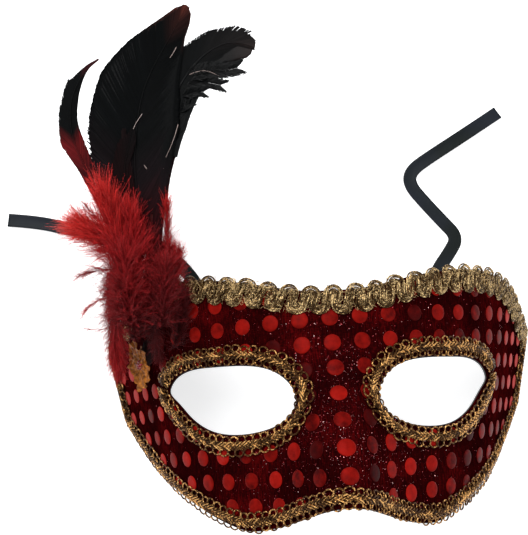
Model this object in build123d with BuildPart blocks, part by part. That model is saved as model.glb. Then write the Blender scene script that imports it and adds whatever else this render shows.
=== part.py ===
from build123d import *
import math
import os

os.makedirs("parts", exist_ok=True)

# A half mask lying on its back with its temple ends on a table: +Y towards the forehead, +Z up, and
# +X to the right. The origin is on the table, midway between the temples, level with the eyes' middle.
# The plume stands on the left temple.

# ---- Driving dimensions, millimetres ----
APEX = 80.0              # height of the forehead's middle above the temple ends
HALF_WIDTH = 84.3        # half axis of the arched section, level with the eyes
TAPER = 0.24             # growth of that half axis per millimetre towards the forehead
ARCH = 112.6             # depth axis of the arched section
FLARE_FROM = 0.82        # share of the half axis where the arch goes on as a straight flank
NOSE_HEIGHT = 19.8       # rise of the nose ridge at its foot
NOSE_START = -4.7        # level where the ridge has half its rise
NOSE_RAMP = 9.0          # length over which the ridge rises
NOSE_WIDTH = 15.5        # distance from the ridge line where it has fallen to a third

SHELL = 1.2              # moulded shell
CLOTH = (0.05, 0.5)      # sequin cloth, its two faces above the shell
BRAID = (0.6, 2.6)       # braids, their two faces above the shell
NARROW_BRAID = 7.5       # width of the braid on the eyes and the lower edge
WIDE_BRAID = 10.5        # width of the braid on the top edge
BRAID_JOIN = 25.5        # level where the wide braid gives way to the narrow one
BRAID_GAP = 0.3

SEQUIN_RADIUS = 3.0
SEQUIN_THICK = 0.25
SEQUIN_COLUMN = 10.7     # pitch across the mask, measured along the surface
SEQUIN_ROW = 9.03        # pitch up the mask
SEQUIN_FIRST = (-0.8, 19.0)
SEQUIN_SLANT = 0.036     # radians that the cloth's rows lean
SEQUIN_GAP = 0.15        # clearance of a sequin over the cloth and beside the braids
TEMPLE_GAP = 0.45        # the same over the steep temples, where the cloth bulges

FLOWER_AT = (-72.0, 18.5)
PETALS = 5
PETAL_REACH = 6.2        # from the flower's middle to a petal's middle
PETAL_SIZE = (4.0, 3.1)  # half length and half width
PETAL_THICK = 1.0
CENTRE_RADIUS = 2.2
CENTRE_THICK = 2.4
CENTRE_ROUNDING = 1.6

PAD_AT = (-73.0, 22.0)
PAD_RADIUS = 5.5
PAD_TOP = 1.5            # the pad's upper face above the shell
BINDING_RADIUS = 2.1
BINDING_LIFT = 3.9       # axis of the binding above the shell
BINDING_FOOT = (-73.5, 17.5)
HINGE_AT = (-71.0, 29.5)
HINGE_GAP = 0.5          # between the binding and the quills that bend beside it
QUILL_RADII = (1.9, 1.3)

PLUME_TOP = 82.0         # height that the arched plume levels out at
PLUME_DROP = 38.0        # how far it falls below that at its root
PLUME_ROOT = 20.0        # level of its root
PLUME_REACH = 35.0       # length over which it rises
VANE = 1.0               # thickness of a feather's vane

PATCH_AT = (82.0, 8.0)
PATCH_SIZE = (7, 12)
PATCH = (-2.1, -1.25)    # the felt patch, its two faces from the shell's outer face
RIBBON_WIDTH = 6.0
RIBBON_THICK = 0.8
RIBBON_Z = 0.5           # middle of a ribbon lying on the table
FOLD_SHARE = 0.45        # share of the shorter run that a bend may use

TALL = 130.0             # more than the height of anything here
FLANK = ARCH * FLARE_FROM / math.sqrt(1 - FLARE_FROM**2)


def height(x, y):
    """Height of the shell's outer face above the table."""
    share = abs(x) / (HALF_WIDTH + TAPER * y)
    arched = min(share, FLARE_FROM)
    z = ARCH * (math.sqrt(1 - arched**2) - 1) - FLANK * max(share - FLARE_FROM, 0)
    ridge = NOSE_HEIGHT / (1 + math.exp((y - NOSE_START) / NOSE_RAMP))
    return APEX + z + ridge * math.exp(-((x / NOSE_WIDTH) ** 2))


def normal(x, y):
    """Outward unit normal of the shell's outer face."""
    e = 0.05
    dx = (height(x + e, y) - height(x - e, y)) / (2 * e)
    dy = (height(x, y + e) - height(x, y - e)) / (2 * e)
    return Vector(-dx, -dy, 1).normalized()


def level(x, y, distance):
    """Height of the face that lies a distance outside the shell's outer face."""
    return height(x, y) + distance / normal(x, y).Z


def on_face(x, y, distance=0.0):
    return Vector(x, y, height(x, y)) + normal(x, y) * distance


# The stations of a lofted layer lie closer together near the nose, where it bends most.
HALF_SPAN = 99.0
ACROSS = [HALF_SPAN * (0.4 * s + 0.6 * s**3) for s in [i / 12 - 1 for i in range(25)]]
ALONG = [-52 + 10.4 * j for j in range(11)]


def layer(low, high):
    """The lofted layer between two distances from the shell's outer face."""
    with BuildPart() as lofted:
        for y in ALONG:
            with BuildSketch(Plane.XZ.offset(-y)):
                with BuildLine():
                    under = Spline([(x, level(x, y, low)) for x in ACROSS])
                    over = Spline([(x, level(x, y, high)) for x in ACROSS])
                    Line(under @ 0, over @ 0)
                    Line(under @ 1, over @ 1)
                make_face()
        loft()
    return lofted.part


def finish(piece, name):
    piece.part.label = name
    export_step(piece.part, f"parts/{name}.step")
    print(name, round(piece.part.volume), "mm3", len(piece.part.solids()), "solids")


# ---- Outlines, seen from above ----
TOP_HALF = [
    (0, 38), (12, 38.6), (25, 41.5), (41, 45), (55, 46.8), (68, 46), (77, 42.5), (84, 35.7), (89, 29.5),
]
TEMPLE_END = [(92, 22.5), (92, 14), (89.3, 5.5)]
LOWER_HALF = [
    (85.2, -3), (79.8, -11), (73.8, -18.5), (66.5, -26.5), (58.5, -33.2), (50, -38.6), (41, -42.9),
    (32, -45.2), (24, -44), (17.5, -41.8), (11.5, -39.2), (6, -37), (0, -36.3),
]
half_outline = Spline(TOP_HALF + TEMPLE_END + LOWER_HALF, tangents=[(1, 0), (-1, 0)])
EYE = [
    (61.5, 7), (58.5, 10.8), (53, 13), (44.5, 13.4), (33, 13), (23, 10.7), (16.8, 5.8), (14.6, 0), (17, -5.5),
    (25, -10), (34, -11.4), (44.5, -10), (53.5, -4), (59, 2.2),
]
eye_line = Spline(EYE, periodic=True)
INSET_STEPS = 6
SPANS = 12               # a closed line is a chain of this many splines
SPAN_POINTS = 6
EYE_RIM = 0.4            # cloth left bare round an eye
LEFT, RIGHT = -1, 1      # the object's sides, by the sign of x


def beside(path, share, width):
    """The point a width to the left of a path, measured along the shell's face."""
    here = path @ share
    ahead = path % share
    for _ in range(INSET_STEPS):
        up = normal(here.X, here.Y)
        lifted = Vector(ahead.X, ahead.Y, -(up.X * ahead.X + up.Y * ahead.Y) / up.Z)
        here = here + up.cross(lifted).normalized() * (width / INSET_STEPS)
    return (here.X, here.Y)


def outline_point(share, inset):
    """A point of the outline, or of a line within it, its share of the way round from the top."""
    share %= 1
    if share <= 0.5:
        return beside(half_outline, 2 * share, -inset)
    x, y = beside(half_outline, 2 - 2 * share, -inset)
    return (-x, y)


def eye_point(share, outset, side):
    x, y = beside(eye_line, share % 1, -outset)
    return (side * x, y)


def closed_area(point_at, *options):
    """The area inside a closed line that is given by a function of the share of the way round."""
    with BuildSketch() as area:
        with BuildLine():
            for span in range(SPANS):
                shares = [(span + i / SPAN_POINTS) / SPANS for i in range(SPAN_POINTS + 1)]
                Spline([point_at(share, *options) for share in shares])
        make_face()
    return area.sketch


def box_above(y):
    """The area on the forehead's side of a level."""
    with BuildSketch() as area:
        with Locations((0, y)):
            Rectangle(220, 60, align=(Align.CENTER, Align.MIN))
    return area.sketch


# ---- Shell, cloth and braids ----
CLOTH_INSET = 0.3
whole_area = closed_area(outline_point, 0)
inside_narrow = closed_area(outline_point, NARROW_BRAID)
inside_wide = closed_area(outline_point, WIDE_BRAID)
cloth_area = closed_area(outline_point, CLOTH_INSET)
above_join = box_above(BRAID_JOIN + BRAID_GAP / 2)
below_join_cut = box_above(BRAID_JOIN - BRAID_GAP / 2)
eye_holes = [closed_area(eye_point, 0, side) for side in (LEFT, RIGHT)]
cloth_eyes = [closed_area(eye_point, CLOTH_INSET, side) for side in (LEFT, RIGHT)]
eye_rims = [closed_area(eye_point, EYE_RIM, side) for side in (LEFT, RIGHT)]
eye_outer = [closed_area(eye_point, EYE_RIM + NARROW_BRAID, side) for side in (LEFT, RIGHT)]
shell_layer = layer(-SHELL, 0)
cloth_layer = layer(*CLOTH)
braid_layer = layer(*BRAID)

with BuildPart() as mask_shell:
    with BuildSketch():
        add(whole_area)
        add(eye_holes, mode=Mode.SUBTRACT)
    extrude(amount=TALL)
    add(shell_layer, mode=Mode.INTERSECT)
finish(mask_shell, "mask_shell")

with BuildPart() as fabric_cover:
    with BuildSketch():
        add(cloth_area)
        add(cloth_eyes, mode=Mode.SUBTRACT)
    extrude(amount=TALL)
    add(cloth_layer, mode=Mode.INTERSECT)
finish(fabric_cover, "fabric_cover")

with BuildPart() as top_braid:
    with BuildSketch():
        add(whole_area)
        add(inside_wide, mode=Mode.SUBTRACT)
        add(above_join, mode=Mode.INTERSECT)
    extrude(amount=TALL)
    add(braid_layer, mode=Mode.INTERSECT)
finish(top_braid, "top_braid")

with BuildPart() as edge_braid:
    with BuildSketch():
        add(whole_area)
        add(inside_narrow, mode=Mode.SUBTRACT)
        add(below_join_cut, mode=Mode.SUBTRACT)
    extrude(amount=TALL)
    add(braid_layer, mode=Mode.INTERSECT)
finish(edge_braid, "edge_braid")

for name, rim, outer in zip(("eye_braid_left", "eye_braid_right"), eye_rims, eye_outer):
    with BuildPart() as eye_braid:
        with BuildSketch():
            add(outer)
            add(rim, mode=Mode.SUBTRACT)
        extrude(amount=TALL)
        add(braid_layer, mode=Mode.INTERSECT)
    finish(eye_braid, name)

# ---- Sequins: flat discs in slanting rows, cut where the braids cover them ----
FIRST_TEMPLE = 60.0      # the temples' zones start at this distance from the middle


def arc_place(u, v):
    """The point of the shell's face at an arc length from the middle line, on level v."""
    x, run = 0.0, 0.0
    step = 0.25
    while run < abs(u):
        run += math.dist((x, height(x, v)), (x + step, height(x + step, v)))
        x += step
    return (math.copysign(x, u), v)


def sequin_centres():
    cos, sin = math.cos(SEQUIN_SLANT), math.sin(SEQUIN_SLANT)
    u0, v0 = SEQUIN_FIRST
    for column in range(-11, 12):
        for row in range(-8, 4):
            u = u0 + column * SEQUIN_COLUMN * cos - row * SEQUIN_ROW * sin
            v = v0 + row * SEQUIN_ROW * cos + column * SEQUIN_COLUMN * sin
            yield arc_place(u, v)


def zone(x, y):
    side = "left" if x < 0 else "right"
    if abs(x) < 13.5:
        return "sequins_nose"
    if y > 12 and abs(x) < FIRST_TEMPLE:
        return "sequins_forehead"
    return f"sequins_{side}_temple" if abs(x) > FIRST_TEMPLE else f"sequins_{side}_cheek"


with BuildSketch() as top_strip:
    add(below_join_cut)
    add(closed_area(outline_point, WIDE_BRAID + SEQUIN_GAP), mode=Mode.SUBTRACT)

eye_reach = EYE_RIM + NARROW_BRAID + SEQUIN_GAP
with BuildSketch() as field:
    add(closed_area(outline_point, NARROW_BRAID + SEQUIN_GAP))
    add(top_strip.sketch, mode=Mode.SUBTRACT)
    add([closed_area(eye_point, eye_reach, side) for side in (LEFT, RIGHT)], mode=Mode.SUBTRACT)

sequin_zones = {}
for x, y in sequin_centres():
    up = normal(x, y)
    turned = Plane(origin=on_face(x, y), z_dir=up)
    spokes = [Vector(SEQUIN_RADIUS, 0, 0).rotate(Axis.Z, 45 * i) for i in range(8)]
    rim = [turned.from_local_coords(spoke) for spoke in spokes]
    if not any(field.sketch.face().is_inside(Vector(p.X, p.Y, 0)) for p in rim + [turned.origin]):
        continue
    if math.dist((x, y), PAD_AT) < PAD_RADIUS + SEQUIN_RADIUS + BRAID_GAP:
        continue
    gap = TEMPLE_GAP if abs(x) > FIRST_TEMPLE else SEQUIN_GAP
    lift = max([0] + [level(p.X, p.Y, 0) - p.Z for p in rim]) * up.Z
    sequin_zones.setdefault(zone(x, y), []).append(turned.offset(CLOTH[1] + gap + lift))

for name, planes in sequin_zones.items():
    with BuildPart() as sequins:
        for turned in planes:
            with BuildSketch(turned):
                Circle(SEQUIN_RADIUS)
            extrude(amount=SEQUIN_THICK)
        with BuildSketch():
            add(field.sketch)
        extrude(amount=TALL, mode=Mode.INTERSECT)
    finish(sequins, name)

# ---- Flower, glue pad and the wrapped ends of the quills ----
with BuildPart() as glue_pad:
    with BuildSketch():
        with Locations(PAD_AT):
            Circle(PAD_RADIUS)
    extrude(amount=TALL)
    add(layer(BRAID[0], PAD_TOP), mode=Mode.INTERSECT)
finish(glue_pad, "glue_pad")

FLOWER_LIFT = BINDING_LIFT + BINDING_RADIUS + BRAID_GAP
binding_foot = on_face(*BINDING_FOOT, BINDING_LIFT)
hinge = on_face(*HINGE_AT, BINDING_LIFT)
binding_way = (hinge - binding_foot).normalized()
print("hinge at", hinge)

with BuildPart() as quill_binding:
    with BuildSketch(Plane(origin=binding_foot, z_dir=binding_way)):
        Circle(BINDING_RADIUS)
    extrude(amount=(hinge - binding_foot).length - HINGE_GAP)
    fillet(quill_binding.edges(), 0.5)
finish(quill_binding, "quill_binding")

flower_plane = Plane(origin=on_face(*FLOWER_AT, FLOWER_LIFT), z_dir=normal(*FLOWER_AT), x_dir=(0, 1, 0))

with BuildPart() as flower_petals:
    with BuildSketch(flower_plane):
        with PolarLocations(PETAL_REACH, PETALS, start_angle=20):
            Ellipse(*PETAL_SIZE)
        Circle(CENTRE_RADIUS + BRAID_GAP, mode=Mode.SUBTRACT)
    extrude(amount=PETAL_THICK)
finish(flower_petals, "flower_petals")

with BuildPart() as flower_centre:
    with BuildSketch(flower_plane):
        Circle(CENTRE_RADIUS)
    extrude(amount=CENTRE_THICK)
    outward = Axis(flower_plane.origin, flower_plane.z_dir)
    fillet(flower_centre.edges().sort_by(outward)[-1], CENTRE_ROUNDING)
finish(flower_centre, "flower_centre")

# ---- Plume: quills, feathers and down on an arched sheet ----


def plume_height(y):
    return PLUME_TOP - PLUME_DROP * math.exp(-(y - PLUME_ROOT) / PLUME_REACH)


def arched_slab(low, high):
    """The slab between two distances over the plume's arched sheet."""
    with BuildPart() as slab:
        with BuildSketch(Plane.YZ.offset(-120)):
            with BuildLine():
                under = Spline([(y, plume_height(y) + low) for y in range(0, 161, 10)])
                over = Spline([(y, plume_height(y) + high) for y in range(0, 161, 10)])
                Line(under @ 0, over @ 0)
                Line(under @ 1, over @ 1)
            make_face()
        extrude(amount=110)
    return slab.part


def plume_piece(points, low, high):
    """A piece with an outline seen from above, between two distances over the arched sheet."""
    with BuildPart() as piece:
        with BuildSketch():
            with BuildLine():
                Spline(points, periodic=True)
            make_face()
        extrude(amount=TALL)
        add(arched_slab(low, high), mode=Mode.INTERSECT)
    return piece


quill_foot = hinge + binding_way * HINGE_GAP
quill_tip = Vector(-66.5, 56.5, plume_height(56.5))
quill_way = (quill_tip - quill_foot).normalized()
with BuildPart() as quill_bundle:
    with BuildSketch(Plane(origin=quill_foot, z_dir=quill_way)):
        Circle(QUILL_RADII[0])
    with BuildSketch(Plane(origin=quill_tip, z_dir=quill_way)):
        Circle(QUILL_RADII[1])
    loft()
finish(quill_bundle, "quill_bundle")

FEATHERS = {
    "feather_tall": (
        [
            (-66, 59), (-75, 63), (-82, 75), (-85.5, 90), (-86, 104), (-83, 118), (-75, 130), (-64, 141),
            (-55, 147.5), (-49.5, 148.5), (-47.5, 144), (-50, 136), (-50, 122), (-50.5, 108), (-54, 94),
            (-58, 78), (-61, 64),
        ],
        0.0,
    ),
    "feather_curled": (
        [
            (-63, 92), (-57, 97), (-50, 109), (-41, 113.5), (-31, 121), (-24, 128), (-22.5, 135), (-28, 140),
            (-38, 141), (-47, 139.5), (-56, 134), (-62, 120), (-65, 105),
        ],
        -1.6,
    ),
    "feather_back": (
        [
            (-64, 61), (-70, 72), (-68, 88), (-64, 102), (-57, 110), (-51, 108), (-51, 98), (-55, 86),
            (-57.5, 74), (-60, 64),
        ],
        -3.2,
    ),
    "feather_narrow": (
        [
            (-79, 64), (-85, 70), (-90, 83), (-95.5, 97), (-97.5, 108), (-95, 117), (-89, 125), (-82, 129),
            (-86, 123), (-90, 113), (-89, 102), (-86, 90), (-82, 78), (-77, 69),
        ],
        -1.6,
    ),
    "feather_short": (
        [(-72, 66), (-76, 74), (-77, 86), (-74, 97), (-70, 101), (-68, 92), (-67, 80), (-69, 70)],
        1.6,
    ),
}
for name, (points, low) in FEATHERS.items():
    finish(plume_piece(points, low, low + VANE), name)

DOWN = {
    "marabou_front": (
        [
            (-72, 22), (-82, 26), (-89, 40), (-91, 56), (-87, 70), (-80, 80), (-68, 82), (-58, 74),
            (-52.5, 62), (-51, 50), (-56, 38), (-64, 28),
        ],
        3.4, 12.0,
    ),
    "marabou_left": (
        [(-92.5, 38), (-97, 44), (-100, 58), (-97, 68), (-92, 72), (-93, 62), (-94.5, 50)],
        -2.0, 6.0,
    ),
    "marabou_back": (
        [(-64, 59), (-82, 61), (-87, 66), (-82, 74), (-70, 77), (-58, 71), (-54, 62)],
        -9.0, -3.6,
    ),
    "marabou_lower": (
        [(-84.5, 8.5), (-88, 12), (-90.5, 19), (-91.5, 27), (-87.5, 27.5), (-85, 20), (-84, 13)],
        1.0, 8.0,
    ),
}
for name, (points, low, high) in DOWN.items():
    finish(plume_piece(points, low, high), name)

# ---- Ribbons and the patches that hold them inside the temples ----
patch_layer = layer(*PATCH)
for name, side in (("ribbon_patch_left", LEFT), ("ribbon_patch_right", RIGHT)):
    with BuildPart() as ribbon_patch:
        with BuildSketch():
            with Locations((side * PATCH_AT[0], PATCH_AT[1])):
                Rectangle(*PATCH_SIZE)
        extrude(amount=TALL)
        add(patch_layer, mode=Mode.INTERSECT)
    finish(ribbon_patch, name)

RIBBONS = {
    "ribbon_left": [
        (-81.8, 5), (-81.3, 14.5), (-75.5, 24.5), (-65, 31), (-55, 35.5), (-49.5, 44), (-52.5, 54.5),
        (-59, 63.5), (-67.5, 71.5), (-80, 77.5), (-95, 80), (-110, 83), (-124, 87), (-137.5, 88.5),
    ],
    "ribbon_right": [
        (81.8, 5), (81.3, 14.5), (76, 24), (67, 31.5), (57.5, 36.5), (52, 45.5), (55.5, 56.5), (61.5, 64),
        (66.3, 71.5), (59.5, 79.6), (52.3, 88.5), (46, 97), (47, 103.5), (57, 110), (73.5, 119.8),
        (90, 130),
    ],
}


def bend_radii(route):
    """The radius of the arc at each inner point: as large as its two runs allow."""
    radii = []
    for before, point, after in zip(route, route[1:], route[2:]):
        into = Vector(*point) - Vector(*before)
        out = Vector(*after) - Vector(*point)
        turn = math.radians(into.get_angle(out))
        radii.append(FOLD_SHARE * min(into.length, out.length) / math.tan(turn / 2))
    return radii


for name, points in RIBBONS.items():
    route = [(x, y, RIBBON_Z) for x, y in points]
    radii = bend_radii(route)
    print(name, "radii", [round(r) for r in radii])
    with BuildPart() as ribbon:
        with BuildLine():
            path = FilletPolyline(*route, radius=radii)
        with BuildSketch(Plane(origin=path @ 0, z_dir=path % 0, x_dir=(path % 0).cross(Vector(0, 0, 1)))):
            Rectangle(RIBBON_WIDTH, RIBBON_THICK)
        sweep(path=path)
    full = RIBBON_WIDTH * RIBBON_THICK * path.length
    print(name, "length", round(path.length, 1), "volume share", round(ribbon.part.volume / full, 3))
    finish(ribbon, name)
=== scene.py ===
import math

import bpy
import numpy as np
from mathutils import Matrix, Vector


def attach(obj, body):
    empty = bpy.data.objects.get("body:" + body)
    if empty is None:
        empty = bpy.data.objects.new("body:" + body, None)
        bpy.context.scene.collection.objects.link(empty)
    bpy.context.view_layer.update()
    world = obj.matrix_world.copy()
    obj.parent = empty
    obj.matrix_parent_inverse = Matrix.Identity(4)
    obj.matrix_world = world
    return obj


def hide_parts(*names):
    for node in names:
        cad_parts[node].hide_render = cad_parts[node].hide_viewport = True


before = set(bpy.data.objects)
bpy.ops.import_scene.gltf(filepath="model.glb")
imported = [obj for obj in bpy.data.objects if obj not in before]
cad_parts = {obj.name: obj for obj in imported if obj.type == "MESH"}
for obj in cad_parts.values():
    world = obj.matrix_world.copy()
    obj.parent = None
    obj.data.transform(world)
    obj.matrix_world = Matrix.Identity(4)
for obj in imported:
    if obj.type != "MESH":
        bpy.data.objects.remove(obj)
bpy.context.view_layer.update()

MM = 0.001               # lengths below are in millimetres, and meshes in metres
UP = np.array([0.0, 0.0, 1.0])

# ---- The mask's shape, as in the CAD source ----
APEX = 80.0
HALF_WIDTH = 84.3
TAPER = 0.24
ARCH = 112.6
FLARE_FROM = 0.82
NOSE_HEIGHT = 19.8
NOSE_START = -4.7
NOSE_RAMP = 9.0
NOSE_WIDTH = 15.5
FLANK = ARCH * FLARE_FROM / math.sqrt(1 - FLARE_FROM**2)
BRAID_FOOT = 0.6
NARROW_BRAID = 7.5
WIDE_BRAID = 10.5
BRAID_JOIN = 25.5
EYE_RIM = 0.4
HALF_OUTLINE = [
    (0, 38), (12, 38.6), (25, 41.5), (41, 45), (55, 46.8), (68, 46), (77, 42.5), (84, 35.7), (89, 29.5),
    (92, 22.5), (92, 14), (89.3, 5.5), (85.2, -3), (79.8, -11), (73.8, -18.5), (66.5, -26.5), (58.5, -33.2),
    (50, -38.6), (41, -42.9), (32, -45.2), (24, -44), (17.5, -41.8), (11.5, -39.2), (6, -37), (0, -36.3),
]
EYE = [
    (61.5, 7), (58.5, 10.8), (53, 13), (44.5, 13.4), (33, 13), (23, 10.7), (16.8, 5.8), (14.6, 0), (17, -5.5),
    (25, -10), (34, -11.4), (44.5, -10), (53.5, -4), (59, 2.2),
]
PLUME_TOP = 82.0
PLUME_DROP = 38.0
PLUME_ROOT = 20.0
PLUME_REACH = 35.0
FLOWER_AT = (-68.6, 18.0)
BINDING_FOOT = (-73.5, 17.5)
HINGE_AT = (-71.0, 29.5)
BINDING_LIFT = 3.9
FLOWER_LIFT = 5.4
RIBBON_WIDTH = 6.0
RIBBON_Z = 0.5
TABLE_GAP = 0.6          # the cloth and braid stay this far above the table
OUTLINE_STEP = 0.4

# ---- Camera ----
LENS = 59.15
CAMERA_AT = (-0.02824, -0.00836, 0.39097)      # metres
CAMERA_TURNS = (("Y", -0.015), ("X", 0.177), ("Z", -0.047))
camera_data = bpy.data.cameras.new("camera")
camera_data.lens = LENS
camera_data.sensor_width = 36
camera = bpy.data.objects.new("camera", camera_data)
bpy.context.scene.collection.objects.link(camera)
stand = Matrix.Translation(CAMERA_AT)
for axis, angle in CAMERA_TURNS:
    stand = stand @ Matrix.Rotation(angle, 4, axis)
camera.matrix_world = stand
bpy.context.scene.camera = camera


# ---- Mesh tools ----
def unit(vectors):
    return vectors / np.maximum(np.linalg.norm(vectors, axis=-1, keepdims=True), 1e-9)


class Shape:
    """Points and faces of one piece, with a tone and a chance at each point for its material."""

    def __init__(self):
        self.points, self.quads, self.triangles, self.tones, self.chances = [], [], [], [], []
        self.count = 0

    def add(self, points, quads=(), triangles=(), tone=0.5, chance=0.5):
        points = np.asarray(points, float).reshape(-1, 3)
        self.points.append(points)
        self.quads.append(np.asarray(quads, int).reshape(-1, 4) + self.count)
        self.triangles.append(np.asarray(triangles, int).reshape(-1, 3) + self.count)
        self.tones.append(np.broadcast_to(np.asarray(tone, float).ravel(), (len(points),)))
        self.chances.append(np.broadcast_to(np.asarray(chance, float).ravel(), (len(points),)))
        self.count += len(points)

    def piece(self, name, material, smooth=True):
        points = np.concatenate(self.points)
        quads, triangles = np.concatenate(self.quads), np.concatenate(self.triangles)
        mesh = bpy.data.meshes.new(name)
        mesh.vertices.add(len(points))
        mesh.vertices.foreach_set("co", (points * MM).astype(np.float32).ravel())
        corners = np.concatenate([quads.ravel(), triangles.ravel()]).astype(np.int32)
        mesh.loops.add(len(corners))
        mesh.loops.foreach_set("vertex_index", corners)
        sizes = np.repeat([4, 3], [len(quads), len(triangles)])
        mesh.polygons.add(len(sizes))
        starts = np.concatenate([[0], np.cumsum(sizes)[:-1]]).astype(np.int32)
        mesh.polygons.foreach_set("loop_start", starts)
        mesh.update(calc_edges=True)
        for key, values in (("tone", self.tones), ("chance", self.chances)):
            layer = mesh.attributes.new(key, "FLOAT", "POINT")
            layer.data.foreach_set("value", np.concatenate(values).astype(np.float32))
        mesh.polygons.foreach_set("use_smooth", np.full(len(sizes), smooth))
        mesh.materials.append(material)
        made = bpy.data.objects.new(name, mesh)
        bpy.context.scene.collection.objects.link(made)
        return made


def grid_quads(lines, length, width, closed):
    """Faces between neighbours in stacks of points that are ordered by line, place and place round."""
    index = np.arange(lines * length * width).reshape(lines, length, width)
    after = np.roll(index, -1, axis=2) if closed else index[:, :, 1:]
    here = index if closed else index[:, :, :-1]
    return np.stack([here[:, :-1], here[:, 1:], after[:, 1:], after[:, :-1]], axis=-1).reshape(-1, 4)


def band_quads(length, columns):
    """Faces of a flat closed band, with columns of points on each face and both ends shut."""
    around = 2 * columns
    ends = [[i, i + 1, around - 2 - i, around - 1 - i] for i in range(columns - 1)]
    last = (length - 1) * around
    ends += [[last + c for c in reversed(end)] for end in ends]
    return np.concatenate([grid_quads(1, length, around, True), ends])


def per_point(values, lines, copies):
    """A value for each place on each line, copied to all the points made there."""
    return np.broadcast_to(np.asarray(values, float), lines.shape[:2])[:, :, None].repeat(copies, 2)


def cords(shape, lines, ups, radius, sides=6, tone=0.5, chance=0.5, flat=1.0, twist=0.0):
    """Round or flattened cords along lines (n, m, 3), with the direction up at each point."""
    lines = np.asarray(lines, float)
    n, m, _ = lines.shape
    ahead = unit(np.gradient(lines, axis=1))
    aside = unit(np.cross(np.broadcast_to(ups, lines.shape), ahead))
    above = np.cross(ahead, aside)
    turn = np.arange(sides) * math.tau / sides
    radius = np.broadcast_to(np.asarray(radius, float), (n, m))[:, :, None, None]
    ring = aside[:, :, None] * np.cos(turn)[:, None] + above[:, :, None] * np.sin(turn)[:, None] * flat
    if twist:
        run = np.cumsum(np.linalg.norm(np.diff(lines, axis=1, prepend=lines[:, :1]), axis=2), axis=1)
        radius = radius * (1 + 0.16 * np.cos(2 * turn + run[:, :, None] * math.tau / twist)[..., None])
    points = lines[:, :, None] + ring * radius
    tones, lucks = per_point(tone, lines, sides), per_point(chance, lines, sides)
    shape.add(points, grid_quads(n, m, sides, True), tone=tones, chance=lucks)


def strips(shape, lines, across, half_width, tone=0.5, chance=0.5):
    """Flat strips along lines (n, m, 3), across at each point."""
    n, m, _ = lines.shape
    half_width = np.broadcast_to(np.asarray(half_width, float), (n, m))[:, :, None]
    reach = unit(across) * half_width
    points = np.stack([lines - reach, lines + reach], axis=2)
    tones, lucks = per_point(tone, lines, 2), per_point(chance, lines, 2)
    shape.add(points, grid_quads(n, m, 2, False), tone=tones, chance=lucks)


def run_along(points):
    """The length of a line up to each of its points."""
    return np.concatenate([[0], np.cumsum(np.linalg.norm(np.diff(points, axis=0), axis=1))])


def sample(table, run, at):
    """The table's rows, which stand at run, read at other places."""
    return np.stack([np.interp(at, run, table[:, k]) for k in range(table.shape[1])], axis=-1)


def spaced(curve, step):
    """Points a step apart along a close line of points."""
    run = run_along(curve)
    at = np.linspace(0, run[-1], max(2, round(run[-1] / step) + 1))
    return sample(curve, run, at)


def smooth_line(points, step, closed=False):
    """Points a step apart along the cubic spline through the given ones."""
    points = np.array(points, float)
    if closed:
        points = np.vstack([points, points[:1]])
    knots = run_along(points)
    gaps, last = np.diff(knots), len(points) - 1
    slopes = np.diff(points, axis=0) / gaps[:, None]
    system, right = np.zeros((last + 1, last + 1)), np.zeros(points.shape)
    for i in range(last + 1):
        if 0 < i < last or closed:
            before, after = gaps[(i - 1) % last], gaps[i % last]
            system[i, (i - 1) % last if closed else i - 1] += after
            system[i, i] += 2 * (before + after)
            system[i, (i + 1) if i < last else 1] += before
            right[i] = 3 * (after * slopes[(i - 1) % last] + before * slopes[i % last])
        else:
            system[i, i] = 2
            system[i, 1 if i == 0 else last - 1] = 1
            right[i] = 3 * slopes[0 if i == 0 else last - 1]
    rates = np.linalg.solve(system, right)
    at = np.linspace(0, knots[-1], 40 * last)
    i = np.clip(np.searchsorted(knots, at, "right") - 1, 0, last - 1)
    gap = gaps[i][:, None]
    t = (at - knots[i])[:, None] / gap
    curve = (
        (2 * t**3 - 3 * t**2 + 1) * points[i] + (t**3 - 2 * t**2 + t) * gap * rates[i]
        + (3 * t**2 - 2 * t**3) * points[i + 1] + (t**3 - t**2) * gap * rates[i + 1]
    )
    return spaced(curve, step)


# ---- The mask's face ----
def height(x, y):
    share = np.abs(x) / (HALF_WIDTH + TAPER * y)
    arched = np.minimum(share, FLARE_FROM)
    z = ARCH * (np.sqrt(1 - arched**2) - 1) - FLANK * np.maximum(share - FLARE_FROM, 0)
    ridge = NOSE_HEIGHT / (1 + np.exp((y - NOSE_START) / NOSE_RAMP))
    return APEX + z + ridge * np.exp(-((x / NOSE_WIDTH) ** 2))


def normal(x, y):
    e = 0.05
    dx = (height(x + e, y) - height(x - e, y)) / (2 * e)
    dy = (height(x, y + e) - height(x, y - e)) / (2 * e)
    return unit(np.stack([-dx, -dy, np.ones_like(dx)], axis=-1))


def on_face(x, y, lift=0.0):
    x, y = np.asarray(x, float), np.asarray(y, float)
    return np.stack([x, y, height(x, y)], axis=-1) + normal(x, y) * np.asarray(lift, float)[..., None]


def inset(line, width):
    """The line moved to its left by a width along the face."""
    steps = 8
    ahead = np.gradient(line, axis=0)
    here = line.copy()
    for _ in range(steps):
        up = normal(here[:, 0], here[:, 1])
        climb = -(up[:, 0] * ahead[:, 0] + up[:, 1] * ahead[:, 1]) / up[:, 2]
        lifted = np.column_stack([ahead, climb])
        here = here + (unit(np.cross(up, lifted)) * (width / steps))[:, :2]
    return here


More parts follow.
